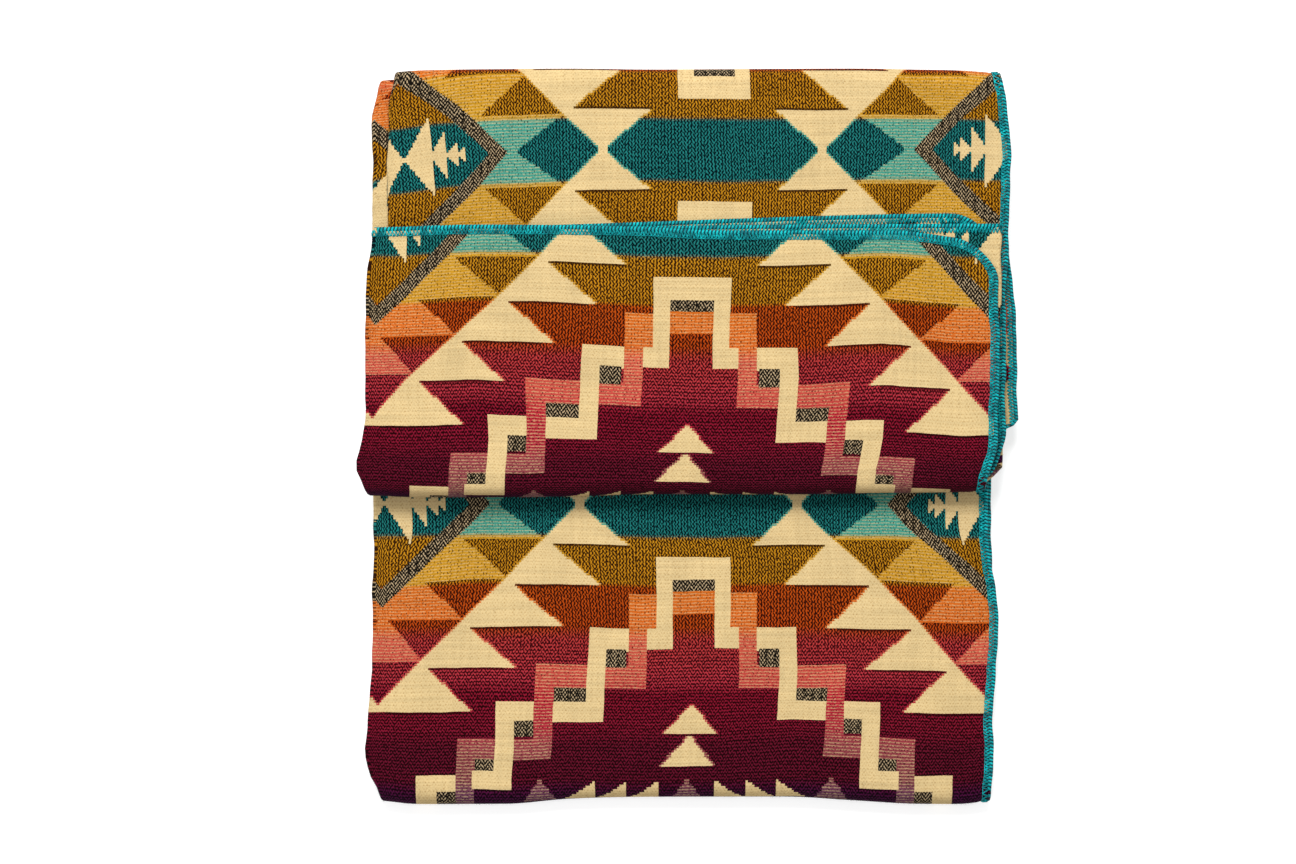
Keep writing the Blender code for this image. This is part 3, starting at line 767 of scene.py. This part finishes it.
def woven_look():
    """The yarns as a node group: from a place on the cloth to its colour and its height."""
    takes = (("Place", "NodeSocketVector"), ("Front", "NodeSocketFloat"))
    gives = (("Colour", "NodeSocketColor"), ("Height", "NodeSocketFloat"))
    tree, start, end = new_group("woven_look", takes, gives)
    calc, blend = partial(maths, tree), partial(mixed, tree)
    place = start.outputs["Place"]
    soft = add_node(tree, "TexNoise", {"Vector": place, "Scale": DRIFT_SCALE}).outputs["Color"]
    sockets = {0: soft, 1: (DRIFT, DRIFT, 0.0), 2: place}
    drifting = add_node(tree, "VectorMath", sockets, operation="MULTIPLY_ADD").outputs[0]
    chart = add_node(tree, "Group", {0: drifting}, node_tree=fret_chart())
    cream_mask, light_mask, grey_mask, line_mask, down = chart.outputs

    bands = []
    for which in (1, 2, 3):
        ramp = add_node(tree, "ValToRGB", {0: down})
        stops = ramp.color_ramp.elements
        stops[0].position, stops[0].color = BANDS[0][0], (*BANDS[0][which], 1.0)
        stops[1].position, stops[1].color = BANDS[-1][0], (*BANDS[-1][which], 1.0)
        for band in BANDS[1:-1]:
            stops.new(band[0]).color = (*band[which], 1.0)
        bands.append(ramp.outputs[0])
    shown, sunk, light = bands

    def wave(socket, threads):
        turns = 2 * math.pi / (threads * THREAD * MM)
        return calc("COSINE", calc("MULTIPLY", socket, turns))

    across_u, down_v = split_place(tree, drifting)
    birdseye = calc("MULTIPLY", wave(across_u, EYES[0]), wave(down_v, EYES[1]))
    fine_eye = calc("MULTIPLY", wave(across_u, FINE_EYES[0]), wave(down_v, FINE_EYES[1]))
    ribs = wave(down_v, RIBS)
    fleck = calc("SUBTRACT", noise(tree, place, 500.0, 2.0, (1.4, 0.8, 1.0)), 0.5)
    dash = calc("SUBTRACT", noise(tree, place, 420.0, 2.0, (0.9, 1.5, 1.0)), 0.5)
    yarn_u = noise(tree, place, 14.0, 3.0, (20.0, 0.8, 1.0))
    yarn_v = noise(tree, place, 14.0, 3.0, (0.6, 20.0, 1.0))
    cloud = noise(tree, place, 26.0, 3.0)

    def woven(pattern, weave, grain=fleck):
        pattern_share, grain_share, centre, hardness = weave
        mix = calc("MULTIPLY_ADD", grain, grain_share, calc("MULTIPLY", pattern, pattern_share))
        return sharpened(tree, mix, centre, hardness)

    dots = calc("MULTIPLY_ADD", birdseye, 0.55, calc("MULTIPLY", fine_eye, 0.65))
    lying = sharpened(tree, down, 0.45, 12.0)
    standing, laid = wave(across_u, FLOATS), wave(down_v, FLOATS)
    floats = calc("MULTIPLY_ADD", calc("SUBTRACT", laid, standing), lying, standing)
    ground_eye = calc("MULTIPLY_ADD", floats, 0.45, dots)
    dark_effect = blend(woven(ground_eye, DARK_WEAVE), sunk, shown)
    pale = woven(ribs, PALE_WEAVE, dash)
    light_effect = blend(pale, light, blend(0.45, light, CREAM))
    black_share = woven(ground_eye, SUNK_WEAVE)
    light_effect = blend(black_share, light_effect, blend(0.8, light, sunk))
    cream_dots = calc("MULTIPLY_ADD", dots, 0.55, calc("MULTIPLY", ribs, 0.25))
    cream_effect = blend(woven(cream_dots, CREAM_WEAVE, dash), CREAM_DEEP, CREAM)
    grey_effect = blend(woven(dots, GREY_WEAVE), BLACK, GREY_PALE)

    # The back is the front the other way round: pale where the front is dark
    back = calc("LESS_THAN", start.outputs["Front"], 0.5)
    shaped = calc("MAXIMUM", light_mask, grey_mask)
    ground = calc("SUBTRACT", 1.0, calc("MAXIMUM", shaped, cream_mask))
    swap = calc("MULTIPLY", back, calc("SUBTRACT", ground, cream_mask))
    cream = calc("ADD", cream_mask, swap)
    colour = blend(light_mask, dark_effect, light_effect)
    colour = blend(cream, colour, cream_effect)
    colour = blend(grey_mask, colour, grey_effect)
    colour = blend(calc("MULTIPLY", line_mask, 0.8), colour, sunk)
    streaks = calc("MULTIPLY_ADD", yarn_u, 0.5, yarn_v)
    shade = calc("MULTIPLY_ADD", calc("SUBTRACT", streaks, 0.75), 0.45, 1.0)
    shade = calc("ADD", shade, calc("MULTIPLY", calc("SUBTRACT", cloud, 0.5), 0.30))
    shaded = add_node(tree, "VectorMath", {0: colour, "Scale": shade}, operation="SCALE")
    tree.links.new(shaded.outputs[0], end.inputs["Colour"])
    height = calc("MULTIPLY_ADD", dots, 0.4, calc("MULTIPLY", fleck, 1.6))
    height = calc("ADD", height, calc("MULTIPLY", cream, 0.4))
    tree.links.new(height, end.inputs["Height"])
    return tree


WOVEN_LOOK = woven_look()


def yarn_material(name, bump):
    """The yarn's own finish: the woven look on a soft, matt surface with a slight sheen."""
    soft = {"Roughness": 0.95, "Specular IOR Level": 0.02, "Sheen Weight": 0.015, "Sheen Roughness": 0.5}
    material, surface = new_material(name, soft)
    tree = material.node_tree
    uv = add_node(tree, "UVMap", {}, uv_map="woven_place")
    front = add_node(tree, "Attribute", {}, attribute_name="front")
    sockets = {"Place": uv.outputs[0], "Front": front.outputs["Fac"]}
    look = add_node(tree, "Group", sockets, node_tree=WOVEN_LOOK)
    tree.links.new(look.outputs["Colour"], surface.inputs["Base Color"])
    if bump:
        add_relief(tree, surface, look.outputs["Height"], 0.55, bump)
    return material


flat_cloth = bmesh.new()
made = bmesh.ops.create_grid(flat_cloth, x_segments=len(columns) - 1, y_segments=len(rows) - 1, size=1)
points = sorted(made["verts"], key=lambda v: (round(v.co.y * 1e4), v.co.x))
for index, point in enumerate(points):
    row, column = divmod(index, len(columns))
    point.co = (columns[column], rows[row], -1.0)
made = bmesh.ops.extrude_face_region(flat_cloth, geom=flat_cloth.faces[:], use_keep_orig=True)
front = [item for item in made["geom"] if isinstance(item, bmesh.types.BMVert)]
bmesh.ops.translate(flat_cloth, verts=front, vec=(0.0, 0.0, 2.0))
bmesh.ops.recalc_face_normals(flat_cloth, faces=flat_cloth.faces)
cloth_mesh = finished_mesh("woven_alpaca", flat_cloth)
s, t, face = flat_places(cloth_mesh)
inset = np.minimum(np.minimum(s, CLOTH_WIDE - s), np.minimum(t, CLOTH_LONG - t))
swell = np.clip((inset - EDGING_WIDE) / (SWELL_END - EDGING_WIDE), 0, 1)
half = (PRESSED_THICK + (CLOTH_THICK - PRESSED_THICK) * swell) / 2
s, t = rounded(s, t)
lay_pattern(cloth_mesh, s, t, face)
move_points(cloth_mesh, folded(s, t, half * face))
cloth = add_piece("woven_alpaca", cloth_mesh, yarn_material("alpaca_cloth", bump=0.35))
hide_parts("woven_cloth")

# The nap
# Alpaca is brushed after it is woven, so loose fibres stand off its faces and show as a soft fuzz
# along every fold. Each fibre takes the colour of the yarn that it comes out of.

dice = np.random.default_rng(7)
ROOT_DEEP = 0.15  # how far inside the cloth's face a fibre starts
LOWEST_FIBRE = 0.2  # no fibre goes into the floor


def lines_mesh(curve, lines, radii=None, closed=False):
    """The mesh of a curve along lines of places: lines, places on a line, x y z."""
    curve.dimensions = "3D"
    points = np.ones((*lines.shape[:2], 4), np.float32)
    points[:, :, :3] = lines
    for places in points:
        line = curve.splines.new("POLY")
        line.points.add(len(places) - 1)
        line.points.foreach_set("co", places.ravel())
        if radii:
            line.points.foreach_set("radius", radii)
        line.use_cyclic_u = closed
    guide = add_object(curve.name + "_lines", curve)
    mesh = bpy.data.meshes.new_from_object(guide.evaluated_get(bpy.context.evaluated_depsgraph_get()))
    bpy.data.objects.remove(guide)
    return mesh


def nap(name, places, longest, width):
    """Loose fibres as thin tapered ribbons, rooted at these places on the flat cloth: s, t and face."""
    s, t, face = places
    count = len(s)
    s, t = rounded(s, t)
    length = longest * (0.35 + 0.65 * dice.random(count))
    lean, heading = dice.uniform(0.3, 1.15, count), dice.uniform(0, 2 * math.pi, count)
    lean_s, lean_t = np.sin(lean) * np.cos(heading), np.sin(lean) * np.sin(heading)
    joints = []
    for share, droop in ((0.0, 0.0), (0.55, 0.0), (1.0, 0.35)):
        reach = length * share
        rise = reach * (np.cos(lean) - droop * np.sin(lean))
        root = CLOTH_THICK / 2 - ROOT_DEEP
        joints.append(folded(s + reach * lean_s, t + reach * lean_t, face * (root + rise)))
    joints = np.stack(joints, axis=1)
    joints[:, :, 2] = np.maximum(joints[:, :, 2], LOWEST_FIBRE * MM)
    fibres = bpy.data.curves.new(name, "CURVE")
    fibres.extrude = width / 2 * MM
    mesh = lines_mesh(fibres, joints, radii=(1.0, 0.8, 0.1))
    each = len(mesh.vertices) // count
    lay_pattern(mesh, np.repeat(s, each), np.repeat(t, each), np.repeat(face, each))
    fuzz = add_piece(name, mesh, FIBRE)


FIBRE = yarn_material("alpaca_fibre", bump=0.0)
# Where the nap shows along the folds: the fold's place across the cloth, its face, from t, to t, count
FOLD_NAP = (
    (LAYER_START[1] - FOLD_LENGTH / 2, 1, 0.0, CLOTH_LONG, 12000),
    (LAYER_START[3] - FOLD_LENGTH / 2, 1, 0.0, CLOTH_LONG, 9000),
    (LAYER_START[2] - FOLD_LENGTH / 2, -1, 0.0, CLOTH_LONG, 7000),
)
roots = []
for middle, face, first, last, count in FOLD_NAP:
    s = middle + dice.normal(0, FOLD_LENGTH * 0.55, count)
    roots.append(np.stack([s, dice.uniform(first, last, count), np.full(count, float(face))]))
# and along the turned ends: the place, the layer outside, how many
for name, layer, count in (("roll", 0, 8000), ("top fold", 3, 5000), ("bottom fold", 0, 8000)):
    start = LAYER_START[layer]
    s = dice.uniform(start + CORNER_RADIUS / 3, start + LAYER_RUNS[layer] - CORNER_RADIUS / 3, count)
    t = TURN_PLACE[name] + dice.normal(0, ROLL_LENGTH * 0.4, count)
    roots.append(np.stack([s, t, np.ones(count)]))
nap("nap_on_folds", np.concatenate(roots, axis=1), longest=4.6, width=0.15)
NAP_INSET = 14.0  # clear of the edging and the folds
# On the faces in view: layer, from t, to t, how many
FACE_NAP = (
    (0, NAP_INSET, PANEL_RUNS["flap"], 15000),
    (3, along("middle", 180.0), along("middle", TOP_FOLD_Y), 11000),
    (0, along("lower", -50.0), along("lower", BOTTOM_FOLD_Y), 17000),
)
roots = []
for layer, first, last, count in FACE_NAP:
    start = LAYER_START[layer]
    s = dice.uniform(start + NAP_INSET, start + LAYER_RUNS[layer] - NAP_INSET, count)
    roots.append(np.stack([s, dice.uniform(first, last, count), np.ones(count)]))
nap("nap_on_faces", np.concatenate(roots, axis=1), longest=2.6, width=0.09)

# The overlock edging
# Teal polyester thread, sewn over the raw edge in one pass all round. A thick purl of thread runs over
# the rim, two loopers zigzag over the two faces, and a needle thread runs along their inner side.

STITCH = 3.3
THREAD_RADIUS = 0.84
STRAIGHT_WIDE = CLOTH_WIDE - 2 * CORNER_RADIUS
STRAIGHT_LONG = CLOTH_LONG - 2 * CORNER_RADIUS
ARC = math.pi / 2 * CORNER_RADIUS
EDGE_ROUND = 2 * (STRAIGHT_WIDE + STRAIGHT_LONG) + 4 * ARC
STITCH_COUNT = round(EDGE_ROUND / STITCH)
TEAL, TEAL_DEEP = (0.0012, 0.410, 0.430), (0.0005, 0.115, 0.130)
PAINTED_THREAD_SHADE, PAINTED_PURL_SHADE = (0.0005, 0.045, 0.055), (0.0005, 0.030, 0.040)  # painted shade: dark teal for the gaps between the fibres and between the stitches


def edge_place(distance, inward):
    """A place by how far round the cloth's edge it is and how far in from it, on the flat cloth."""
    distance = np.mod(distance, EDGE_ROUND)
    s, t = np.zeros_like(distance), np.zeros_like(distance)
    corners = (
        (CORNER_RADIUS, CORNER_RADIUS),
        (CLOTH_WIDE - CORNER_RADIUS, CORNER_RADIUS),
        (CLOTH_WIDE - CORNER_RADIUS, CLOTH_LONG - CORNER_RADIUS),
        (CORNER_RADIUS, CLOTH_LONG - CORNER_RADIUS),
    )
    start = 0.0
    radius = CORNER_RADIUS - inward
    for side, (corner_s, corner_t) in enumerate(corners):
        turn = math.pi + side * math.pi / 2 + np.clip((distance - start) / CORNER_RADIUS, 0, math.pi / 2)
        straight = (STRAIGHT_WIDE, STRAIGHT_LONG)[side % 2]
        run = np.clip(distance - start - ARC, 0, straight)
        heading = side * math.pi / 2
        here = (distance >= start) & (distance <= start + ARC + straight)
        s = np.where(here, corner_s + radius * np.cos(turn) + run * math.cos(heading), s)
        t = np.where(here, corner_t + radius * np.sin(turn) + run * math.sin(heading), t)
        start += ARC + straight
    return s, t


def thread_material(name, ribbed):
    """Spun polyester: teal, with a twist that runs along it, a low gloss, and painted shade in its gaps."""
    material, surface = new_material(name, {"Roughness": 0.6, "Specular IOR Level": 0.12})
    tree = material.node_tree
    place = add_node(tree, "TexCoord", {}).outputs["Object"]
    spun, slow = noise(tree, place, 700.0), noise(tree, place, 150.0)
    colour = mixed(tree, sharpened(tree, slow, 0.5, 2.5), TEAL_DEEP, TEAL)
    height, bump = spun, 0.15
    if ribbed:
        uv = add_node(tree, "UVMap", {}, uv_map="way_round")
        on, over = split_place(tree, uv.outputs[0])
        slant = maths(tree, "MULTIPLY_ADD", over, 0.5, on)
        rib = maths(tree, "COSINE", maths(tree, "MULTIPLY", slant, 2 * math.pi))
        # gap masks the grooves between the purl's ribs, where dark teal is painted as shade
        gap = sharpened(tree, maths(tree, "MULTIPLY_ADD", spun, 1.4, rib), 0.55, 1.8)
        colour = mixed(tree, gap, PAINTED_PURL_SHADE, colour)
        height, bump = maths(tree, "MULTIPLY_ADD", rib, 1.0, spun), 0.45
    else:
        # painted shade: dark teal specks where the thread's fibres part
        colour = mixed(tree, sharpened(tree, spun, 0.58, 3.0), colour, PAINTED_THREAD_SHADE)
    tree.links.new(colour, surface.inputs["Base Color"])
    add_relief(tree, surface, height, 0.6, bump)
    return material


# The purl over the rim, as a ring round the cloth's edge: how far in, and w
RIM_MIDDLE, RIM_WIDE, RIM_HIGH = 1.3, 2.1, 1.5
RIM_STEP, RIM_SIDES = 5.8, 10
stations = round(EDGE_ROUND / RIM_STEP)
rim_shape = bmesh.new()
made = bmesh.ops.create_grid(rim_shape, x_segments=RIM_SIDES, y_segments=stations, size=0.5)
for point in made["verts"]:
    point.co = (point.co.x + 0.5, point.co.y + 0.5, 0.0)
rim_map = rim_shape.loops.layers.uv.new("way_round")
for patch in rim_shape.faces:
    for corner in patch.loops:
        corner[rim_map].uv = (corner.vert.co.y * STITCH_COUNT, corner.vert.co.x * 2)
for point in rim_shape.verts:
    turn, station = 2 * math.pi * point.co.x, point.co.y * EDGE_ROUND
    inward = RIM_MIDDLE + RIM_WIDE * math.cos(turn)
    s, t = edge_place(np.array([station]), inward)
    point.co = (s[0], t[0], RIM_HIGH * math.sin(turn))
bmesh.ops.remove_doubles(rim_shape, verts=rim_shape.verts, dist=0.01)
bmesh.ops.recalc_face_normals(rim_shape, faces=rim_shape.faces)
rim_mesh = finished_mesh("overlock_rim", rim_shape)
move_points(rim_mesh, folded(*flat_places(rim_mesh)))
rim = add_piece("overlock_rim", rim_mesh, thread_material("teal_purl", ribbed=True))
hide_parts("overlock_edging")


def sewn_thread(name, steps, radius):
    """A thread that repeats its steps at every stitch, all round: how far on, how far in, and w."""
    steps = np.array(steps)
    stitches = np.repeat(np.arange(STITCH_COUNT), len(steps))
    step = np.tile(steps, (STITCH_COUNT, 1))
    uneven = 0.14 * np.sin(stitches * 1.37) + 0.12 * np.sin(stitches * 0.41 + 1.0)
    s, t = edge_place((stitches + step[:, 0]) * EDGE_ROUND / STITCH_COUNT, step[:, 1] + uneven)
    places = folded(s, t, step[:, 2])
    places[:, 2] = np.maximum(places[:, 2], radius * MM)  # the floor presses the lowest thread flat
    curve = bpy.data.curves.new(name, "CURVE")
    curve.bevel_depth = radius * MM
    curve.bevel_resolution = 0
    mesh = lines_mesh(curve, places[None], closed=True)
    mesh.shade_smooth()
    thread = add_piece(name, mesh, TEAL_THREAD)


TEAL_THREAD = thread_material("teal_thread", ribbed=False)
LOOPER = PRESSED_THICK / 2 + THREAD_RADIUS - 0.30
looper_steps = (
    (0.0, 6.4, LOOPER),
    (0.2, 7.2, LOOPER - 0.1),
    (0.48, 4.4, LOOPER + 0.1),
    (0.72, 2.0, LOOPER + 0.2),
)
sewn_thread("overlock_upper", looper_steps, THREAD_RADIUS)
sewn_thread("overlock_lower", [(on + 0.3, inward, -w) for on, inward, w in looper_steps], THREAD_RADIUS)
NEEDLE = PRESSED_THICK / 2 + 0.35
needle_steps = ((0.0, 7.3, NEEDLE), (0.5, 7.3, NEEDLE + 0.25), (0.85, 7.3, PRESSED_THICK / 2 - 0.2))
sewn_thread("overlock_needle", needle_steps, radius=0.5)

# The studio
# A white sweep that glows a little, so that it reads as pure white round the blanket, a broad soft
# light from beyond its top edge, a weaker one from the viewer's left, and the camera straight above.

floor_shape = bmesh.new()
bmesh.ops.create_grid(floor_shape, x_segments=2, y_segments=2, size=25.0)
floor_mesh = finished_mesh("studio_floor", floor_shape)
GREY, WHITE = (0.5, 0.5, 0.5, 1.0), (1.0, 1.0, 1.0, 1.0)
glow = {"Base Color": GREY, "Emission Color": WHITE, "Emission Strength": 0.62, "Roughness": 0.9}
floor_mesh.materials.append(new_material("white_sweep", glow)[0])
floor = add_object("studio_floor", floor_mesh)
floor.location.z = -0.0005


def soft_light(name, place, size, power):
    """A square soft light that faces the blanket."""
    light = bpy.data.lights.new(name, "AREA")
    light.size = size
    light.energy = power
    made = add_object(name, light)
    made.location = place
    made.rotation_euler = (-made.location).to_track_quat("-Z", "Y").to_euler()


soft_light("key_light", (-0.48, 3.4, 4.25), size=2.1, power=412.0)
soft_light("fill_light", (-1.8, -0.9, 2.8), size=2.0, power=32.0)
world = bpy.data.worlds.new("studio")
world.use_nodes = True
background = world.node_tree.nodes["Background"]
background.inputs["Color"].default_value = WHITE
background.inputs["Strength"].default_value = 0.60
bpy.context.scene.world = world
bpy.context.scene.view_settings.view_transform = "Standard"

PX = 0.926  # millimetres on the blanket to one pixel of the photo
PHOTO_WIDE, PHOTO_HIGH = 1296, 864
MIDDLE_PX = (688, 438)  # the blanket's middle in the photo
SENSOR, CAMERA_HIGH = 36.0, 4.0
MEAN_HIGH = 0.035
camera_data = bpy.data.cameras.new("camera")
camera_data.sensor_width = SENSOR
camera_data.lens = SENSOR * CAMERA_HIGH / (PHOTO_WIDE * PX * MM)
camera_data.clip_end = 50.0
camera = add_object("camera", camera_data)
camera.location = (
    (PHOTO_WIDE / 2 - MIDDLE_PX[0]) * PX * MM,
    (MIDDLE_PX[1] - PHOTO_HIGH / 2) * PX * MM,
    CAMERA_HIGH + MEAN_HIGH,
)
bpy.context.scene.camera = camera
